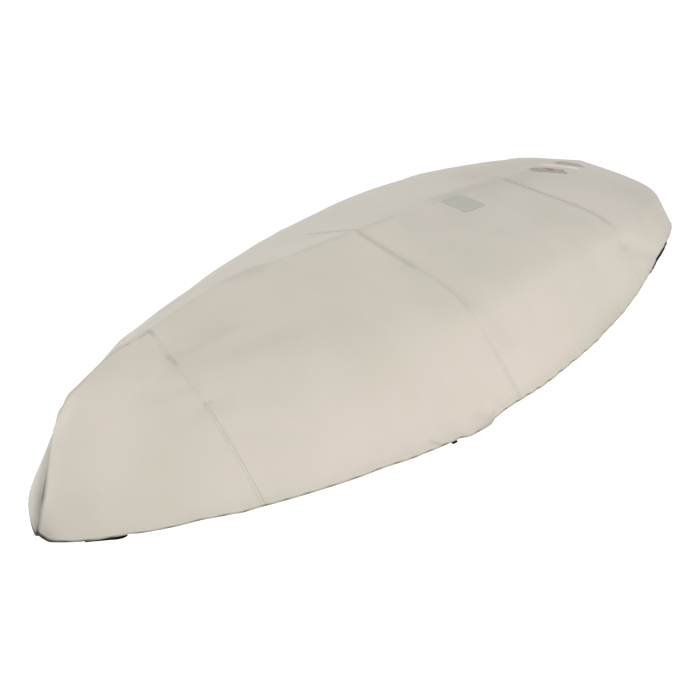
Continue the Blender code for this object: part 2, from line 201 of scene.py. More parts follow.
# The elastic gathers the cloth above the hem, more so towards the stern: how high the gathers stand at
# these sections, how far apart they are, and how far up the cloth they reach.
GATHER_SECTIONS = (0.0, 1.5, 4.0, 6.0, 7.0, 9.0, 10.0, 13.0)
GATHER_HEIGHTS = (0.001, 0.002, 0.003, 0.0035, 0.0035, 0.005, 0.006, 0.006)
GATHER_PITCH = 0.050
GATHER_REACH = 0.045

# The hem itself hangs in scallops between the places where the elastic has caught it.
SCALLOP_SECTIONS = (0.0, 5.0, 6.7, 7.4, 8.8, 9.2, 10.9, 11.4, 13.0)
SCALLOP_DEPTHS = (0.0, 0.001, 0.003, 0.006, 0.006, 0.001, 0.001, 0.004, 0.005)
SCALLOP_PITCH = 0.105
SCALLOP_REACH = 0.030

# Small puckers stand beside the cross seams, where their thread has drawn up the cloth.
PUCKER_PITCH = 0.042
PUCKER_HEIGHT = 0.0012
PUCKER_REACH = 0.022

# No two gathers are alike. Their places drift by shares of the pitch and their heights by a share of
# themselves, each over its own length along the hem. The scallops' places drift too, by SCALLOP_DRIFT and
# at a radian for each SCALLOP_DRIFT_RADIAN of the hem.
PITCH_DRIFTS = (
    # share of the pitch, length, times the phase
    (0.35, 0.43, 1),
    (0.22, 0.27, 2),
)
HEIGHT_DRIFT, HEIGHT_DRIFT_LENGTH = 0.32, 0.61
SCALLOP_DRIFT, SCALLOP_DRIFT_RADIAN = 0.020, 0.13
MEAN_BULGE = 0.64

# Broad, shallow waves all over the cloth, which die away within SWAY_REACH of the ridge.
SWAY_HEIGHT = 0.0014
SWAY_REACH = 0.20
SWAYS = (
    # share of the height, length of a wave along x, y and z, phase
    (1.0, (0.71, 1.10, np.inf), 0.7),
    (0.6, (0.43, np.inf, -0.52), 2.1),
)

# A seam or casing is more than one cloth thick, so it stands up by its lift and steps down at its edge. A
# slack seam keeps only a share of its lift.
SEAM_WIDTH = 0.015
SEAM_LIFT = 0.0008
SLACK_SEAM_LIFT = 0.3
CASING_WIDTH = 0.026
CASING_LIFT = 0.0004
STEP_WIDTH = 0.003

# Past the hem the casing curls under the hull: this far down, and this far in.
CURL_PAST_HEM = 0.003
CURL_DEPTH = 0.0085

# Stiff cloth can't fold to an edge, so the ridge is rounded off over about this distance.
RIDGE_ROUNDING = 0.008

# The cloth is modelled as lines both ways. These lie at set distances from the ridge, a seam or the hem, and
# the others at even distances between them. The last lines turn under with the curl, by these degrees.
LINE_SPACING = 0.010
RIDGE_LINES = (0.0, 0.004, 0.008, 0.013, 0.019, 0.026, 0.035)
SEAM_LINES = (0.00015, 0.003, 0.006, 0.009, 0.012, 0.0135, 0.015, 0.018, 0.022, 0.028, 0.037)
HEM_LINES = (0.0, 0.003, 0.006, 0.010, 0.014, 0.018, 0.022, 0.026, 0.029, 0.033, 0.042)
CURL_TURNS = (18.0, 36.0, 54.0, 72.0, 90.0)

# How plainly a seam shows along its way from ridge to hem, where it is drawn tight or lies slack, and how
# much painted shade lies beside it, the shade in the hollow along its edge, and how far. The bow's seam along
# the ridge takes its shares of the way from the stem's foot to the first cross seam.
RIDGE_SEAM = -1
STEM_SHARES = (0.0, 0.2, 0.45, 0.58, 0.72, 0.82, 1.0)
SEAMS = {
    # reach of the painted shade, painted shade, how plainly its stitches show, shares of its way, how plainly
    # it shows there
    # along the stem the painted shade is a dark line, the shade in the trough where the two halves meet
    (STEM, PORT): (0.009, 0.95, 0.25, STEM_SHARES, (0.2, 0.3, 0.45, 0.8, 1.0, 0.5, 0.35)),
    (STEM, STARBOARD): (0.020, 0.80, 0.0, STEM_SHARES, (0.2, 0.3, 0.45, 0.8, 1.0, 0.6, 0.4)),
    # near the aft end of the port ridge seam its pale thread shows fully, a painted highlight streak where
    # the lapped edge catches the light
    (RIDGE_SEAM, PORT): (
        0.008,
        0.09,
        1.0,
        (0.0, 0.7, 0.80, 0.850, 0.865, 0.88, 0.895, 0.935, 0.95, 1.0),
        (0.3, 0.3, 0.4, 0.4, 1.0, 1.0, 0.3, 0.2, 1.0, 1.0),
    ),
    (RIDGE_SEAM, STARBOARD): (0.008, 0.10, 0.6, (0.0, 1.0), (0.5, 0.6)),
    (FIRST_SEAM, PORT): (
        0.010,
        0.06,
        1.0,
        (0.0, 0.12, 0.20, 0.25, 0.28, 0.36, 0.48, 0.55, 1.0),
        (0.5, 0.3, 0.45, 0.6, 0.08, 0.06, 0.25, 0.5, 0.7),
    ),
    (FIRST_SEAM, STARBOARD): (0.010, 0.06, 1.0, (0.0, 0.25, 0.40, 1.0), (0.7, 0.8, 0.3, 0.8)),
    (MIDDLE_SEAM, PORT): (
        0.018,
        0.16,
        1.0,
        (0.0, 0.30, 0.36, 0.45, 0.55, 0.62, 0.70, 0.85, 1.0),
        (0.45, 0.35, 0.2, 0.3, 0.25, 0.05, 0.05, 0.3, 0.4),
    ),
    (MIDDLE_SEAM, STARBOARD): (0.014, 0.12, 1.0, (0.0, 0.15, 0.28, 0.56, 1.0), (0.6, 0.5, 0.15, 0.08, 0.6)),
    (LAST_SEAM, PORT): (0.018, 0.20, 1.0, (0.0, 0.50, 0.62, 0.68, 1.0), (0.45, 0.35, 0.2, 0.06, 0.08)),
    (LAST_SEAM, STARBOARD): (0.014, 0.06, 1.0, (0.0, 0.30, 0.45, 1.0), (0.15, 0.10, 0.4, 0.6)),
}

# Painted shade on the hem: a breath of it above the casing, where the cloth begins to curl under, and a dark
# line of painted shade where the edge turns under. The line comes and goes with the scallops. At the bow it
# is darker by the bow edge's own amount and wider by BOW_EDGE_WIDTH, and both fade out between
# BOW_EDGE_SECTIONS.
HEM_SHADE = 0.09
HEM_SHADE_REACH = 0.030
EDGE_SHADE = 0.62
EDGE_SHADE_VARIES = 0.8
EDGE_SHADE_WIDTH = 0.006
BOW_EDGE_SHADE = 0.75
BOW_EDGE_WIDTH = 0.009
BOW_EDGE_SECTIONS = (0.9, 2.3)


def taut_point(section, share):
    """The taut surface on the starboard side: a straight roof, a bend at the shoulder, a straight side."""
    # each column of the table runs on in a smooth curve that never overshoots its rows
    steps = np.diff(SECTIONS, axis=0)
    slopes = np.zeros_like(SECTIONS)
    slopes[0], slopes[-1] = steps[0], steps[-1]
    product, total = steps[:-1] * steps[1:], steps[:-1] + steps[1:]
    slopes[1:-1] = np.where(product > 0, 2 * product / np.where(product > 0, total, 1), 0)
    section, share = np.broadcast_arrays(np.asarray(section, float), np.asarray(share, float))
    low = np.clip(np.floor(section).astype(int), STEM, STERN_HEM - 1)
    t = (section - low)[..., None]
    row = (
        (2 * t**3 - 3 * t**2 + 1) * SECTIONS[low]
        + (t**3 - 2 * t**2 + t) * slopes[low]
        + (3 * t**2 - 2 * t**3) * SECTIONS[low + 1]
        + (t**3 - t**2) * slopes[low + 1]
    )
    ridge_x, ridge_z, shoulder_y, shoulder_z, hem_x, hem_y, hem_z, bend = np.moveaxis(row, -1, 0)

    ridge = np.stack((ridge_x, 0 * ridge_x, ridge_z), -1)
    shoulder = np.stack((hem_x + SHOULDER_LEAN * (ridge_x - hem_x), shoulder_y, shoulder_z), -1)
    hem = np.stack((hem_x, hem_y, hem_z), -1)
    roof_end = shoulder + bend[..., None] * (ridge - shoulder)
    side_start = shoulder + bend[..., None] * (hem - shoulder)
    roof_share = SHOULDER_SHARE * (1 - bend)
    side_share = SHOULDER_SHARE + (1 - SHOULDER_SHARE) * bend
    on_roof = np.clip(share / roof_share, 0, 1)[..., None]
    in_bend = np.clip((share - roof_share) / (side_share - roof_share), 0, 1)[..., None]
    on_side = np.clip((share - side_share) / (1 - side_share), 0, 1)[..., None]
    bent = (1 - in_bend) ** 2 * roof_end + 2 * in_bend * (1 - in_bend) * shoulder + in_bend**2 * side_start
    return np.where(
        on_roof < 1,
        ridge + (roof_end - ridge) * on_roof,
        np.where(on_side > 0, side_start + (hem - side_start) * on_side, bent),
    )


def length(vectors):
    return np.linalg.norm(vectors, axis=-1)


def run_along(points, axis=0):
    """The distance walked at each point of the lines through points, which starts from nothing."""
    walked = np.cumsum(length(np.diff(points, axis=axis)), axis=axis)
    return np.concatenate((np.zeros_like(walked.take([0], axis=axis)), walked), axis=axis)


def unit(vectors):
    return vectors / length(vectors)[..., None]


def distance_to_line(points, corners):
    """Distance of each point to a line through the given corners."""
    nearest = np.full(points.shape[:-1], np.inf)
    for start, end in zip(corners[:-1], corners[1:]):
        along = end - start
        t = np.clip((points - start) @ along / (along @ along), 0, 1)
        nearest = np.minimum(nearest, length(points - start - t[..., None] * along))
    return nearest


def uneven_ridges(along, pitch, phase):
    """Round bulges between sharp valleys, at an uneven pitch, about zero on average."""
    turns = along / pitch
    for share, drift_length, phases in PITCH_DRIFTS:
        turns = turns + share * np.sin(2 * np.pi * along / drift_length + phases * phase)
    swell = 1 - HEIGHT_DRIFT + HEIGHT_DRIFT * np.sin(2 * np.pi * along / HEIGHT_DRIFT_LENGTH + 3 * phase)
    return swell * (np.abs(np.sin(np.pi * turns)) - MEAN_BULGE)


def scallops(along, phase):
    """Hangs between the places where the hem is caught, from 0 at each of them to 1 half way."""
    drift = SCALLOP_DRIFT * np.sin(along / SCALLOP_DRIFT_RADIAN + phase)
    return np.abs(np.sin(np.pi * (along + drift) / SCALLOP_PITCH + phase))


HEM_PLACES = np.linspace(STEM, STERN_HEM, 521)
HEM_LENGTHS = run_along(taut_point(HEM_PLACES, 1.0))


def hang(side, section, share, girth, edges):
    """The cloth's outer face, its outward, aft and downward directions, and the painted shade in its folds.

    edges gives the distances to the seam ahead, the seam astern, the side hem and the stern hem.
    """
    probe = 0.02
    astern, ahead = np.minimum(section + probe, STERN_HEM), np.maximum(section - probe, STEM)
    below, above = np.minimum(share + probe, 1.0), np.maximum(share - probe, 0.0)
    aft = unit(taut_point(astern, share) - taut_point(ahead, share))
    down = unit(taut_point(section, below) - taut_point(section, above))
    outward = unit(np.cross(aft, down))
    mirror = np.array((1.0, side, 1.0))
    point = taut_point(section, share)
    seam_ahead, seam_astern, side_hem, stern_hem = edges

    # slack
    out = np.zeros(point.shape[:-1])
    drop = np.zeros_like(out)
    along_hem = np.interp(section, HEM_PLACES, HEM_LENGTHS)
    for sides, place, reach_ahead, reach_astern, far_out, far_down in SLACK:
        if side in sides:
            offset = along_hem - np.interp(place, HEM_PLACES, HEM_LENGTHS)
            near = np.exp(-((offset / np.where(offset < 0, reach_ahead, reach_astern)) ** 2))
            out += far_out * near
            drop += far_down * near
    fade = np.maximum(0.0, 1 - length(taut_point(section, 1.0) - point) / SLACK_REACH) ** 2
    out, drop = out * fade, drop * fade

    # folds
    painted_shade = np.zeros_like(out)
    for sides, places, half_width, depth, shade_share in FOLDS:
        if side in sides:
            corners = [taut_point(*place) for place in places]
            near = np.exp(-((distance_to_line(point, corners) / half_width) ** 2))
            out -= depth * near
            painted_shade += shade_share * near

    # gathers, scallops, puckers and sway
    height = np.interp(section, GATHER_SECTIONS, GATHER_HEIGHTS)
    out += height * uneven_ridges(along_hem, GATHER_PITCH, side) * np.exp(-side_hem / GATHER_REACH)
    depth = np.interp(section, SCALLOP_SECTIONS, SCALLOP_DEPTHS)
    drop += depth * (scallops(along_hem, side) - 0.5) * np.exp(-side_hem / SCALLOP_REACH)
    stern_gathers = GATHER_HEIGHTS[-1] * uneven_ridges(HEM_LENGTHS[-1] + side_hem, GATHER_PITCH, side)
    out += stern_gathers * np.exp(-stern_hem / GATHER_REACH)
    for seam_distance, phase in ((seam_ahead, 1.0), (seam_astern, 4.0)):
        puckers = uneven_ridges(girth, PUCKER_PITCH, side + phase)
        out += PUCKER_HEIGHT * puckers * np.exp(-seam_distance / PUCKER_REACH)
    for weight, wavelengths, phase in SWAYS:
        sway = weight * np.sin(2 * np.pi * (point * mirror / wavelengths).sum(-1) + phase)
        out += SWAY_HEIGHT * sway * np.clip(girth / SWAY_REACH, 0, 1)

    # the ridge is rounded off, and the cloth there faces straight up
    ridge_down = unit(taut_point(section, probe) - taut_point(section, 0.0))
    slope = np.clip(-ridge_down[..., 2] / np.maximum(ridge_down[..., 1], 1e-3), 0, 1)
    rounded_off = (np.hypot(girth, RIDGE_ROUNDING) - girth) * slope
    sideways = point[..., 1] / np.hypot(point[..., 1], RIDGE_ROUNDING)
    outward = unit(outward * np.stack((np.ones_like(sideways), sideways, np.ones_like(sideways)), -1))

    point = point + outward * (out + CLOTH_THICKNESS / 2)[..., None]
    point[..., 2] -= drop + rounded_off
    return point * mirror, outward * mirror, aft * mirror, down * mirror, painted_shade


def step_down(distance, width):
    """One up to the given width, then down to nothing over STEP_WIDTH."""
    return np.clip((width + STEP_WIDTH / 2 - distance) / STEP_WIDTH, 0, 1)


def seam_shows(seam, side, share):
    """From 0 to 1, how plainly a seam shows at a share of its way."""
    *_, shares, strengths = SEAMS[seam, side]
    return np.interp(share, shares, strengths)


def stitches_show(seam, side, share):
    return SEAMS[seam, side][2] * seam_shows(seam, side, share)


def shade_beside(seam, side, share, distance):
    reach, painted_shade, *_ = SEAMS[seam, side]
    return painted_shade * seam_shows(seam, side, share) * np.exp(-((distance / reach) ** 2))


def panel_lines(start, end, stern_hem):
    """Section and share of each place where a panel half's lines cross, in rows down from the ridge."""
    probe = 0.01
    aft_lines = HEM_LINES if stern_hem else SEAM_LINES
    aft_curls = len(CURL_TURNS) if stern_hem else 0

    # first the sections, as if the lines beside the two ends lay in them
    walk = np.linspace(start, end, 400)
    walked = run_along(taut_point(walk, SHOULDER_SHARE))
    even = np.linspace(0, walked[-1], round(walked[-1] / LINE_SPACING) + 1)
    at_start, at_end = [start] * (len(SEAM_LINES) - 1), [end] * (len(aft_lines) - 1 + aft_curls)
    nominal = np.concatenate((at_start, np.interp(even, walked, walk), at_end))[:, None]

    # then the shares, by the distance from the ridge and from the hem
    ridge_length = length(taut_point(nominal, probe) - taut_point(nominal, 0.0)) / probe
    hem_length = length(taut_point(nominal, 1.0) - taut_point(nominal, 1.0 - probe)) / probe
    half_girth = run_along(taut_point((start + end) / 2, np.linspace(0, 1, 101)))[-1]
    even = np.linspace(0, 1, round(half_girth / LINE_SPACING) + 1)
    near_ridge = np.array(RIDGE_LINES) / ridge_length
    near_hem = 1 - np.array(HEM_LINES[::-1]) / hem_length
    between = near_ridge[:, -1:] + (near_hem[:, :1] - near_ridge[:, -1:]) * even
    curled = np.ones((len(nominal), len(CURL_TURNS)))
    share = np.concatenate((near_ridge[:, :-1], between, near_hem[:, 1:], curled), axis=1)

    # last the true sections, by the distance from each end at those shares
    ahead = probe / length(taut_point(start + probe, share) - taut_point(start, share))
    astern = probe / length(taut_point(end, share) - taut_point(end - probe, share))
    first, last = SEAM_LINES[-1] * ahead, aft_lines[-1] * astern
    section = start + first + (end - start - first - last) * (nominal - start) / (end - start)
    for row, distance in enumerate(SEAM_LINES[:-1]):
        section[row] = start + distance * ahead[row]
    hem_row = len(section) - 1 - aft_curls
    for rows_ahead, distance in enumerate(aft_lines[:-1]):
        section[hem_row - rows_ahead] = end - distance * astern[hem_row - rows_ahead]
    section[hem_row + 1 :] = end
    return section, share


def panel_half(side, start, end, lap, stern_hem):
    """Outer face, values and cut of a panel from the ridge down one side, with the hem's curl.

    lap is the panel's edge that laps over its neighbour: "seam" ahead of it, "centre" or None.
    """
    section, share = panel_lines(start, end, stern_hem)
    flat = taut_point(section, share)
    girth = run_along(flat, axis=1)
    from_start = run_along(flat)
    seam_ahead = from_start + SEAM_LINES[0]
    to_end = from_start[-1] - from_start
    side_hem = girth[:, -1:] - girth
    far = np.ones_like(girth)
    seam_astern, stern_edge = (far, to_end) if stern_hem else (to_end, far)
    edges = (far if start == STEM else seam_ahead, seam_astern, side_hem, stern_edge)
    point, outward, aft, down, painted_shade = hang(side, section, share, girth, edges)

    # where the cloth laps over its neighbour, and in the casing, it stands up
    lapped = {"seam": seam_ahead, "centre": np.minimum(seam_ahead, girth), None: far}[lap]
    hem = np.minimum(side_hem, stern_edge)
    shows = stitches_show(start, side, share)
    if start == STEM:
        shows = np.where(girth < seam_ahead, stitches_show(RIDGE_SEAM, side, section / FIRST_SEAM), shows)
    lift = SEAM_LIFT * (SLACK_SEAM_LIFT + (1 - SLACK_SEAM_LIFT) * shows) * step_down(lapped, SEAM_WIDTH)
    lift = np.maximum(lift, CASING_LIFT * step_down(hem, CASING_WIDTH))

    # past the hem it curls under, and its lines there count as past the edge
    rows, columns = section.shape
    turn_down = np.concatenate((np.zeros(columns - len(CURL_TURNS)), CURL_TURNS))[None, :]
    turn_aft = np.zeros((rows, 1))
    if stern_hem:
        turn_aft[-len(CURL_TURNS) :, 0] = CURL_TURNS
    turned = np.hypot(turn_down, turn_aft)
    turn = np.radians(np.minimum(turned, 90.0))[..., None]
    away = unit(aft * (turn_aft + 1e-9)[..., None] + down * (turn_down + 1e-9)[..., None])
    thick = CLOTH_THICKNESS / 2 + CASING_LIFT
    curl = away * (CURL_PAST_HEM + thick) * np.sin(turn) - outward * (CURL_DEPTH + thick) * (1 - np.cos(turn))
    point = point + outward * lift[..., None] + curl
    hem = np.where(turned > 0, -turned / 90 * CURL_DEPTH, hem)

    # painted shade beside the seams, then above the casing and where the hem's edge curls under, darkest at
    # the bow
    painted_shade += shade_beside(start, side, share, seam_ahead)
    if start == STEM:
        painted_shade += shade_beside(RIDGE_SEAM, side, section / FIRST_SEAM, girth)
    if not stern_hem:
        painted_shade += shade_beside(end, side, share, to_end)
    painted_shade += HEM_SHADE * np.exp(-np.maximum(hem, 0) / HEM_SHADE_REACH)
    at_bow = np.interp(section, BOW_EDGE_SECTIONS, (1.0, 0.0))
    edge_width = EDGE_SHADE_WIDTH + BOW_EDGE_WIDTH * at_bow
    along_hem = np.interp(section, HEM_PLACES, HEM_LENGTHS) + side_hem
    patchy = 1 - EDGE_SHADE_VARIES * (scallops(along_hem, side) - 0.5)
    painted_shade += (EDGE_SHADE * patchy + BOW_EDGE_SHADE * at_bow) * np.clip(1 - hem / edge_width, 0, 1)
    values = {"from_lap": lapped, "from_hem": hem, "stitches_show": shows, "painted_shade": np.maximum(painted_shade, 0)}
    return point, values, np.stack((seam_ahead, side * girth), -1)


def from_support(point):
    """Takes places from the stem's foot as places from where the boat's support stands under the ridge."""
    support = taut_point(MIDDLE_SEAM, 0.0) - np.array((0, 0, CLOTH_THICKNESS / 2 + SUPPORT_CLEARANCE))
    return point - support


def weave_sheet(name, point, values, cut, thickness):
    """A sheet through rows of points, each from port to starboard, with its outer face on them.

    cut is where each point lies on the flat cloth before it is sewn.
    """
    rows, columns = point.shape[:2]
    bpy.ops.object.select_all(action="DESELECT")
    bpy.ops.mesh.primitive_grid_add(x_subdivisions=rows - 1, y_subdivisions=columns - 1, size=1)
    sheet = bpy.context.object
    sheet.name = sheet.data.name = name
    mesh = sheet.data
    mesh.vertices.foreach_set("co", from_support(point).transpose(1, 0, 2).astype(np.float32).ravel())
    for value_name, amounts in values.items():
        attribute = mesh.attributes.new(value_name, "FLOAT", "POINT")
        attribute.data.foreach_set("value", amounts.T.astype(np.float32).ravel())
    corner_vertices = np.empty(len(mesh.loops), np.int32)
    mesh.loops.foreach_get("vertex_index", corner_vertices)
    corner_cuts = cut.transpose(1, 0, 2).reshape(-1, 2)[corner_vertices]
    mesh.uv_layers[0].name = "cut"
    mesh.uv_layers["cut"].uv.foreach_set("vector", corner_cuts.astype(np.float32).ravel())
    mesh.update()
    wall = sheet.modifiers.new("cloth thickness", "SOLIDIFY")
    wall.thickness = thickness
    wall.offset = -1
    bpy.ops.object.modifier_apply(modifier=wall.name)
    bpy.ops.object.shade_smooth_by_angle(angle=math.radians(60))
    return sheet


def linear(hex_colour):
    """An sRGB hex colour as the linear colour that a shader takes."""
    channels = [int(hex_colour[i : i + 2], 16) / 255 for i in (1, 3, 5)]
    return tuple(c / 12.92 if c <= 0.04045 else ((c + 0.055) / 1.055) ** 2.4 for c in channels) + (1.0,)


def add_node(material, kind, sockets, **settings):
    """Adds a shader node with its settings, and gives its sockets their values or links."""
    node = material.node_tree.nodes.new(kind)
    for setting, value in settings.items():
        setattr(node, setting, value)
    for socket, value in sockets.items():
        if isinstance(value, bpy.types.NodeSocket):
            material.node_tree.links.new(value, node.inputs[socket])
        else:
            node.inputs[socket].default_value = value
    return node


# 600 denier threads lie 0.6 mm apart. The slubs are drawn 2.5 mm wide, so that some of them show.
SLUB_WIDTH, SLUB_LENGTH = 0.0025, 0.060
GRAIN_SHOWS = 0.3
# The dye takes unevenly over about 0.4 m, the cloth cockles over about 0.1 m, and print wears off in spots of
# about 14 mm.
TONES_PER_METRE = 2.6
COCKLES_PER_METRE = 9.0
WORN_SPOTS_PER_METRE = 70.0
COCKLE_HEIGHT = 0.004
WEAVE_HEIGHT = 0.0006
# Stitches of 4 mm are drawn 9 mm apart, and their thread and its groove as wide as they need to show.
STITCH_PITCH = 0.009
STITCH_LENGTH = 0.0065
# the groove's colour is painted shade, and the pale thread also paints the highlight of a lapped edge
THREAD_AND_HIGHLIGHT, THREAD_HALF_WIDTH = "#F2EEE5", 0.0014
GROOVE_SHADE, GROOVE_HALF_WIDTH = "#8F8B7E", 0.0030
# the colour of painted shade, and the near black of the deepest painted shade
PAINTED_SHADE_COLOUR, DEEPEST_SHADE_COLOUR = "#5A574E", "#1C1A17"


def coated_polyester(name, pale, deep, stitch_rows, printed=()):
    """Solution-dyed polyester in plain weave with a water-repellent coating: matte, with a faint grain of
    slubs both ways and a little unevenness of tone, paler thread along its seams that also paints the
    highlight of a lapped edge, painted shade in the needle groove beside it, and painted shade where it
    creases, beside its seams and along its hem, near black where it is deepest."""
    material = bpy.data.materials.new(name)
    material.use_nodes = True
    shader = material.node_tree.nodes["Principled BSDF"]
    cut = add_node(material, "ShaderNodeUVMap", {}, uv_map="cut").outputs["UV"]
    place = add_node(material, "ShaderNodeTexCoord", {}).outputs["Object"]

    # the weave's slubs, both ways, and the cloth's tone
    slubs = []
    for scale in ((1 / SLUB_LENGTH, 1 / SLUB_WIDTH, 1), (1 / SLUB_WIDTH, 1 / SLUB_LENGTH, 1)):
        stretched = add_node(material, "ShaderNodeMapping", {"Vector": cut, "Scale": scale}).outputs[0]
        slub = add_node(material, "ShaderNodeTexNoise", {"Vector": stretched, "Scale": 1.0, "Detail": 2.0})
        slubs.append(slub.outputs["Fac"])
    weave = add_node(material, "ShaderNodeMath", {0: slubs[0], 1: slubs[1]}, operation="ADD").outputs[0]
    dyed = {"Vector": place, "Scale": TONES_PER_METRE, "Detail": 3.0, "Roughness": 0.55}
    tone = add_node(material, "ShaderNodeTexNoise", dyed).outputs["Fac"]
    uneven = add_node(material, "ShaderNodeMapRange", {"Value": tone, "From Min": 0.35, "From Max": 0.65})
    between_slubs = {"Value": weave, "From Min": 0.7, "From Max": 1.3, "To Max": GRAIN_SHOWS}
    grain = add_node(material, "ShaderNodeMapRange", between_slubs)

    # the colours that lie over the deeper one, from the lowest up, each with how much of it shows
    layers = [(uneven.outputs[0], pale), (grain.outputs[0], deep)]

    # bars of screen print, worn off in spots
    if printed:
        spotted = {"Vector": cut, "Scale": WORN_SPOTS_PER_METRE, "Detail": 2.0}
        wear = add_node(material, "ShaderNodeTexNoise", spotted).outputs["Fac"]
    for centre, turn, size, ink, cover in printed:
        on_bar = {"Vector": cut, "Location": (*centre, 0), "Rotation": (0, 0, turn), "Scale": (*size, 1)}
        bar = add_node(material, "ShaderNodeMapping", on_bar, vector_type="TEXTURE").outputs[0]
        aside = add_node(material, "ShaderNodeVectorMath", {0: bar}, operation="ABSOLUTE").outputs[0]
        ways = add_node(material, "ShaderNodeSeparateXYZ", {"Vector": aside}).outputs
        further = add_node(material, "ShaderNodeMath", {0: ways[0], 1: ways[1]}, operation="MAXIMUM")
        inside = {0: further.outputs[0], 1: 0.5}
        within = add_node(material, "ShaderNodeMath", inside, operation="LESS_THAN").outputs[0]
        worn = {"Value": wear, "From Min": 0.35, "From Max": 0.6, "To Min": cover, "To Max": cover / 3}
        left = add_node(material, "ShaderNodeMapRange", worn).outputs[0]
        inked = add_node(material, "ShaderNodeMath", {0: within, 1: left}, operation="MULTIPLY").outputs[0]
        layers.append((inked, ink))

    # rows of stitches. They run along the cut cloth or across it, so their pitch is counted along both.
    ways = add_node(material, "ShaderNodeSeparateXYZ", {"Vector": cut}).outputs
    run = add_node(material, "ShaderNodeMath", {0: ways[0], 1: ways[1]}, operation="ADD").outputs[0]
    pitch = {0: run, 1: STITCH_PITCH}
    stitch = add_node(material, "ShaderNodeMath", pitch, operation="FLOORED_MODULO").outputs[0]
    dash = add_node(material, "ShaderNodeMath", {0: stitch, 1: STITCH_LENGTH}, operation="LESS_THAN")
    sewn = add_node(material, "ShaderNodeAttribute", {}, attribute_name="stitches_show").outputs["Fac"]
    dashes = {0: sewn, 1: dash.outputs[0]}
    dashed = add_node(material, "ShaderNodeMath", dashes, operation="MULTIPLY").outputs[0]
    for attribute, row, thread_and_highlight_shows, groove_shade_shows in stitch_rows:
        distance = add_node(material, "ShaderNodeAttribute", {}, attribute_name=attribute).outputs["Fac"]
        # the groove is painted shade, and the pale thread is thread and painted highlight
        for ink, half_width, where, shows in (
            (GROOVE_SHADE, GROOVE_HALF_WIDTH, sewn, groove_shade_shows),
            (THREAD_AND_HIGHLIGHT, THREAD_HALF_WIDTH, dashed, thread_and_highlight_shows),
        ):
            near_row = {0: distance, 1: row, 2: half_width}
            line = add_node(material, "ShaderNodeMath", near_row, operation="COMPARE").outputs[0]
            faint = add_node(material, "ShaderNodeMath", {0: line, 1: shows}, operation="MULTIPLY").outputs[0]
            seen = add_node(material, "ShaderNodeMath", {0: faint, 1: where}, operation="MULTIPLY").outputs[0]
            layers.append((seen, ink))

    # painted shade, which turns near black where it lies deeper than a full layer
    painted_shade = add_node(material, "ShaderNodeAttribute", {}, attribute_name="painted_shade").outputs["Fac"]
    past_full = {"Value": painted_shade, "From Min": 1.1, "From Max": 1.4, "To Max": 0.8}
    deepest_shade = add_node(material, "ShaderNodeMapRange", past_full).outputs[0]
    layers += [(painted_shade, PAINTED_SHADE_COLOUR), (deepest_shade, DEEPEST_SHADE_COLOUR)]

    colour = linear(deep)
    for shows, ink in layers:
        over = {0: shows, 6: colour, 7: linear(ink)}
        colour = add_node(material, "ShaderNodeMix", over, data_type="RGBA").outputs[2]
    material.node_tree.links.new(colour, shader.inputs["Base Color"])

    # the raised weave on the cockled cloth
    cockled = {"Vector": place, "Scale": COCKLES_PER_METRE, "Detail": 3.0}
    cockle = add_node(material, "ShaderNodeTexNoise", cockled).outputs["Fac"]
    uneven_height = {"Height": cockle, "Strength": 0.35, "Distance": COCKLE_HEIGHT}
    soft = add_node(material, "ShaderNodeBump", uneven_height).outputs[0]
    weave_height = {"Height": weave, "Strength": 0.35, "Distance": WEAVE_HEIGHT, "Normal": soft}
    fine = add_node(material, "ShaderNodeBump", weave_height).outputs[0]
    material.node_tree.links.new(fine, shader.inputs["Normal"])
    shader.inputs["Roughness"].default_value = 0.78
    shader.inputs["Specular IOR Level"].default_value = 0.35
    shader.inputs["Sheen Weight"].default_value = 0.08
    return material


SEAM_STITCHES = (
    # distance that the row follows, how far along it the row lies, how plainly thread and the groove's
    # painted shade show
    # the first row's pale thread paints the highlight on the lapped edge, and the second row's groove paints
    # the shade beside it
    ("from_lap", 0.0030, 0.85, 0.10),
    ("from_lap", 0.0125, 0.15, 0.45),
    ("from_hem", 0.0235, 0.12, 0.08),
)
# where the dye took pale, and where it took deep
IVORY = ("#DCD2C8", "#D6CEC2")
ivory_cloth = coated_polyester("coated_polyester_ivory", *IVORY, SEAM_STITCHES)

for side, side_name in SIDES:
    lap = "centre" if side == PORT else None
    points, values, cut = panel_half(side, STEM, FIRST_SEAM, lap, stern_hem=False)
    # rows run from port to starboard, and neither face crosses the gap in the centre plane
    if side == PORT:
        points, cut = points[:, ::-1], cut[:, ::-1]
        values = {key: amounts[:, ::-1] for key, amounts in values.items()}
    points[..., 1] = side * np.maximum(side * points[..., 1], PIECE_GAP / 2)
    half = weave_sheet("bow_cloth_" + side_name, points, values, cut, CLOTH_THICKNESS)
    corners = np.empty(len(half.data.vertices) * 3, np.float32)
    half.data.vertices.foreach_get("co", corners)
    corners = corners.reshape(-1, 3)
    corners[:, 1] = side * np.maximum(side * corners[:, 1], PIECE_GAP / 2)
    half.data.vertices.foreach_set("co", corners.ravel())
    half.data.update()
    half.data.materials.append(ivory_cloth)
    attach(half, "root")
    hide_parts("bow_panel_" + side_name)


# ---- Cross panels ----
# Three widths of the same cloth, laid across the boat from hem to hem. The leading edge of each laps over
# the panel ahead of it in a felled seam with two rows of stitches, and the last one is hemmed round the
# transom as well.


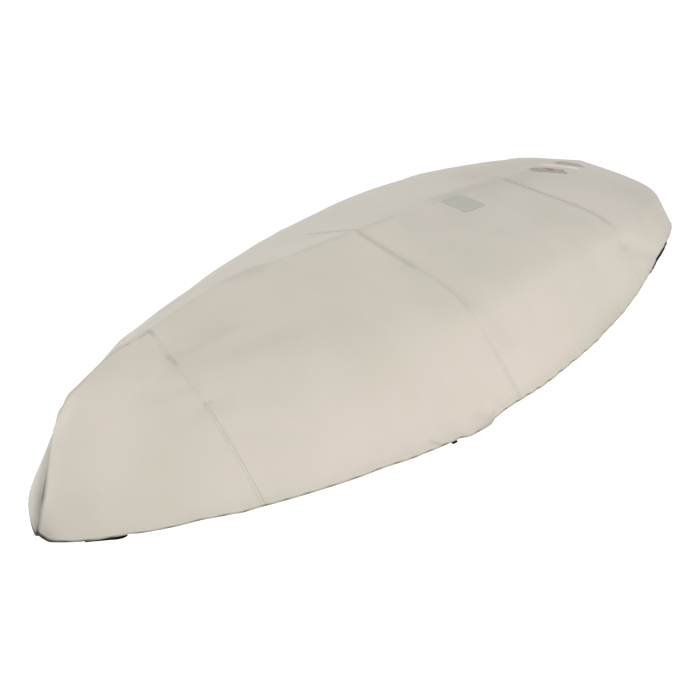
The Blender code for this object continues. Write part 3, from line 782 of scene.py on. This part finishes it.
def cross_panel(name, node, start, end, stern_hem, material):
    """A panel from one side's hem over the ridge to the other's, out of its two halves."""
    port, port_values, port_cut = panel_half(PORT, start, end, "seam", stern_hem)
    starboard, starboard_values, starboard_cut = panel_half(STARBOARD, start, end, "seam", stern_hem)
    middle = (port[:, :1] + starboard[:, :1]) / 2
    middle[..., 1] = 0
    points = np.concatenate((port[:, :0:-1], middle, starboard[:, 1:]), axis=1)
    cut = np.concatenate((port_cut[:, :0:-1], starboard_cut), axis=1)
    values = {}
    for key, amounts in port_values.items():
        values[key] = np.concatenate((amounts[:, :0:-1], starboard_values[key]), axis=1)
    panel = weave_sheet(name, points, values, cut, CLOTH_THICKNESS)
    panel.data.materials.append(material)
    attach(panel, "root")
    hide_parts(node)


cross_panel("fore_cloth", "fore_panel", FIRST_SEAM, MIDDLE_SEAM, False, ivory_cloth)
cross_panel("mid_cloth", "mid_panel", MIDDLE_SEAM, LAST_SEAM, False, ivory_cloth)

# A plain generic print beside the ridge at the stern: three worn bars and a short orange one, set askew.
# A bar's centre is its place on the cut cloth, aft of the seam and out from the ridge.
PRINT_TURN = math.radians(-33.7)
PRINTED_BARS = (
    # centre, turn, length and width, ink, how much of the cloth the ink still covers
    ((0.425, -0.066), PRINT_TURN, (0.250, 0.085), "#75736D", 0.75),
    ((0.455, -0.060), PRINT_TURN, (0.062, 0.052), "#B4622F", 0.80),
    ((0.602, -0.058), PRINT_TURN, (0.260, 0.036), "#FBFAF7", 1.00),
    ((0.735, -0.044), PRINT_TURN, (0.200, 0.080), "#7B7A77", 0.80),
)
printed_cloth = coated_polyester("coated_polyester_ivory_printed", *IVORY, SEAM_STITCHES, PRINTED_BARS)
cross_panel("stern_cloth", "stern_panel", LAST_SEAM, STERN_HEM, True, printed_cloth)


# ---- Support patch ----
# A square of the same cloth in a greyer dye, sewn on beside the ridge with two rows of stitches where the
# head of the boat's support pole would otherwise wear the cover through.

PATCH_SECTIONS = (8.03, 8.30)
PATCH_GIRTHS = (0.020, 0.190)
PATCH_THICKNESS = 0.0012
PATCH_CLEARANCE = 0.0004
PATCH_LINES = 35
PATCH_ROUNDING = 0.06
PATCH_EDGE_DARKENING = 0.04
PATCH_EDGE_REACH = 0.004
PATCH_STITCHES = (("from_lap", 0.005, 0.3, 0.15), ("from_lap", 0.012, 0.3, 0.15))
GREY = ("#CBC7BE", "#C4C0B6")

# from -1 to 1 both ways, drawn in at the corners to round them
even = np.linspace(-1, 1, PATCH_LINES)
square_aft, square_up = np.meshgrid(even, even, indexing="ij")
patch_aft = square_aft * (1 - PATCH_ROUNDING * square_up**8)
patch_up = square_up * (1 - PATCH_ROUNDING * square_aft**8)
patch_section = np.mean(PATCH_SECTIONS) + patch_aft * np.ptp(PATCH_SECTIONS) / 2
patch_girth = np.mean(PATCH_GIRTHS) - patch_up * np.ptp(PATCH_GIRTHS) / 2
roof_probe = 0.01
roof_length = length(taut_point(patch_section, roof_probe) - taut_point(patch_section, 0.0)) / roof_probe
patch_share = patch_girth / roof_length
far = np.ones_like(patch_share)
patch_points, outward, _, _, patch_darkening = hang(PORT, patch_section, patch_share, patch_girth, (far,) * 4)
patch_points = patch_points + outward * (PATCH_CLEARANCE + PATCH_THICKNESS)
patch_along = run_along(patch_points)
from_edge = np.minimum(
    np.minimum(patch_along, patch_along[-1:] - patch_along),
    np.minimum(patch_girth - patch_girth[:, -1:], patch_girth[:, :1] - patch_girth),
)
# the painted shade of the folds under the patch, and the patch darker along its edges
patch_darkening = patch_darkening + PATCH_EDGE_DARKENING * np.exp(-((from_edge / PATCH_EDGE_REACH) ** 2))
patch_values = {"from_lap": from_edge, "stitches_show": np.ones_like(from_edge), "painted_shade": patch_darkening}
patch_cut = np.stack((patch_along, -patch_girth), -1)
patch = weave_sheet("support_patch", patch_points, patch_values, patch_cut, PATCH_THICKNESS)
patch.data.materials.append(coated_polyester("coated_polyester_grey", *GREY, PATCH_STITCHES))
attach(patch, "root")
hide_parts("pole_patch")


# ---- Webbing ----
# Black polypropylene webbing: a tie-down loop each side of the bow, a short tab amidships and a strap on
# each quarter. Their ends are sewn inside the casing, and their middles hang a little below it.

WEBBING_THICKNESS = 0.0016
WEBBING_LINE_SPACING = 0.008
STRAPS = (
    # name, from section, to section, tape width, drop below the hem at its ends, at its lowest, where that is
    ("bow_loop", 1.83, 2.48, 0.022, 0.0045, 0.0115, 0.84),
    ("side_tab", 5.600, 5.658, 0.045, 0.009, 0.010, 0.50),
    ("stern_strap", 9.36, 10.72, 0.022, 0.004, 0.016, 0.50),
)
# below 1, more of a strap's length hangs near its lowest
STRAP_FULLNESS = 0.6
STRAP_LINES = 7
# Its ribs are 1.5 mm apart and drawn 4.2 mm apart, so that they show. They are the diagonal bands of a wave
# texture, which has 2.25 of them a metre at scale 1.
RIB_PITCH = 0.00424
BANDS_AT_SCALE_ONE = 2.25


def polypropylene_webbing():
    """Black polypropylene tape in a close rib weave: dull, with fine raised ribs askew across it."""
    material = bpy.data.materials.new("woven_polypropylene_black")
    material.use_nodes = True
    shader = material.node_tree.nodes["Principled BSDF"]
    cut = add_node(material, "ShaderNodeUVMap", {}, uv_map="cut").outputs["UV"]
    ribbed = {"Vector": cut, "Scale": 1 / RIB_PITCH / BANDS_AT_SCALE_ONE, "Distortion": 0.6, "Detail": 1.0}
    ribs = add_node(material, "ShaderNodeTexWave", ribbed, wave_type="BANDS", bands_direction="DIAGONAL")
    ribs = ribs.outputs["Fac"]
    tints = {0: ribs, 6: linear("#060505"), 7: linear("#100F0E")}
    tint = add_node(material, "ShaderNodeMix", tints, data_type="RGBA").outputs[2]
    material.node_tree.links.new(tint, shader.inputs["Base Color"])
    raised = add_node(material, "ShaderNodeBump", {"Height": ribs, "Strength": 0.6, "Distance": 0.0005})
    material.node_tree.links.new(raised.outputs[0], shader.inputs["Normal"])
    shader.inputs["Roughness"].default_value = 0.60
    shader.inputs["Specular IOR Level"].default_value = 0.08
    return material


black_webbing = polypropylene_webbing()
for strap_name, start, end, height, end_drop, lowest_drop, lowest_share in STRAPS:
    run = length(np.diff(taut_point(np.linspace(start, end, 50), 1.0), axis=0)).sum()
    lines = max(6, round(run / WEBBING_LINE_SPACING))
    section = np.linspace(start, end, lines + 1)[:, None]
    far, at_hem = np.ones_like(section), np.zeros_like(section)
    # from 0 at the strap's ends to 1 where it hangs lowest
    swing = np.pi * np.linspace(0, 1, lines + 1) ** (math.log(0.5) / math.log(lowest_share))
    slack = np.maximum(np.sin(swing), 0) ** STRAP_FULLNESS
    lower_edge = CURL_PAST_HEM + CLOTH_THICKNESS + CASING_LIFT + end_drop + (lowest_drop - end_drop) * slack
    for side, side_name in SIDES:
        hem, outward, _, down, _ = hang(side, section, far, far, (far, far, at_hem, far))
        inside_curl = hem - outward * (CLOTH_THICKNESS / 2 + CURL_DEPTH + 2 * PIECE_GAP)
        across = np.linspace(0, height, STRAP_LINES)[::side]
        tape = inside_curl + down * (lower_edge[:, None] - height + across)[..., None]
        along = run_along(tape[:, STRAP_LINES // 2])
        tape_cut = np.stack(np.broadcast_arrays(along[:, None], across[None, :]), -1)
        strap = weave_sheet(strap_name + "_webbing_" + side_name, tape, {}, tape_cut, WEBBING_THICKNESS)
        strap.data.materials.append(black_webbing)
        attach(strap, "root")
        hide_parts(strap_name + "_" + side_name)


# ---- Floor, light and camera ----
# A pale studio floor well below the cover, as it would lie under a boat on its trailer, with even light
# from all round and a wide soft lamp on the port side.

FLOOR_WIDTH = 90
FLOOR_BELOW_RIDGE = 2.2

bpy.ops.mesh.primitive_plane_add(size=FLOOR_WIDTH, location=(0, 0, -FLOOR_BELOW_RIDGE))
floor = bpy.context.object
floor.name = "floor"
pale = bpy.data.materials.new("lit_studio_floor")
pale.use_nodes = True
pale_shader = pale.node_tree.nodes["Principled BSDF"]
pale_shader.inputs["Base Color"].default_value = linear("#F6F6F4")
pale_shader.inputs["Roughness"].default_value = 0.9
pale_shader.inputs["Emission Color"].default_value = (1.0, 1.0, 1.0, 1.0)
pale_shader.inputs["Emission Strength"].default_value = 0.40
floor.data.materials.append(pale)

world = bpy.data.worlds.new("studio")
bpy.context.scene.world = world
world.use_nodes = True
background = world.node_tree.nodes["Background"]
background.inputs["Color"].default_value = (0.965, 1.0, 0.995, 1.0)
background.inputs["Strength"].default_value = 0.72

SOFTBOXES = (
    # name, place, aim, diameter, watts, colour
    ("port_softbox", (-0.6, -5.2, 0.3), (-0.3, -0.8, -0.4), 3.0, 60, (1.0, 0.92, 0.88)),
    ("starboard_softbox", (0.2, 5.5, 4.8), (0.0, 0.4, -0.1), 3.5, 94, (1.0, 0.99, 0.93)),
)
for lamp_name, place, aim, diameter, watts, tint in SOFTBOXES:
    bpy.ops.object.light_add(type="AREA", location=place)
    lamp = bpy.context.object
    lamp.name = lamp_name
    lamp.data.shape = "DISK"
    lamp.data.size = diameter
    lamp.data.energy = watts
    lamp.data.color = tint
    lamp.rotation_euler = (Vector(aim) - lamp.location).to_track_quat("-Z", "Y").to_euler()

# The camera stands off the port bow. It looks this far aft of square on to the port side, and this far down.
VIEW_AZIMUTH, VIEW_ELEVATION, VIEW_DISTANCE = math.radians(53.67), math.radians(25.33), 6.909
view_target = Vector((-0.0368, 0.0, -0.6478))
view_direction = Vector(
    (
        math.sin(VIEW_AZIMUTH) * math.cos(VIEW_ELEVATION),
        math.cos(VIEW_AZIMUTH) * math.cos(VIEW_ELEVATION),
        -math.sin(VIEW_ELEVATION),
    )
)
bpy.ops.object.camera_add(location=view_target - view_direction * VIEW_DISTANCE)
camera = bpy.context.object
camera.name = "camera"
camera.rotation_mode = "QUATERNION"
camera.rotation_quaternion = view_direction.to_track_quat("-Z", "Y")
camera.data.sensor_width = 36.0
camera.data.lens = 68.83
camera.data.clip_end = 200
bpy.context.scene.camera = camera
bpy.context.scene.view_settings.view_transform = "Standard"
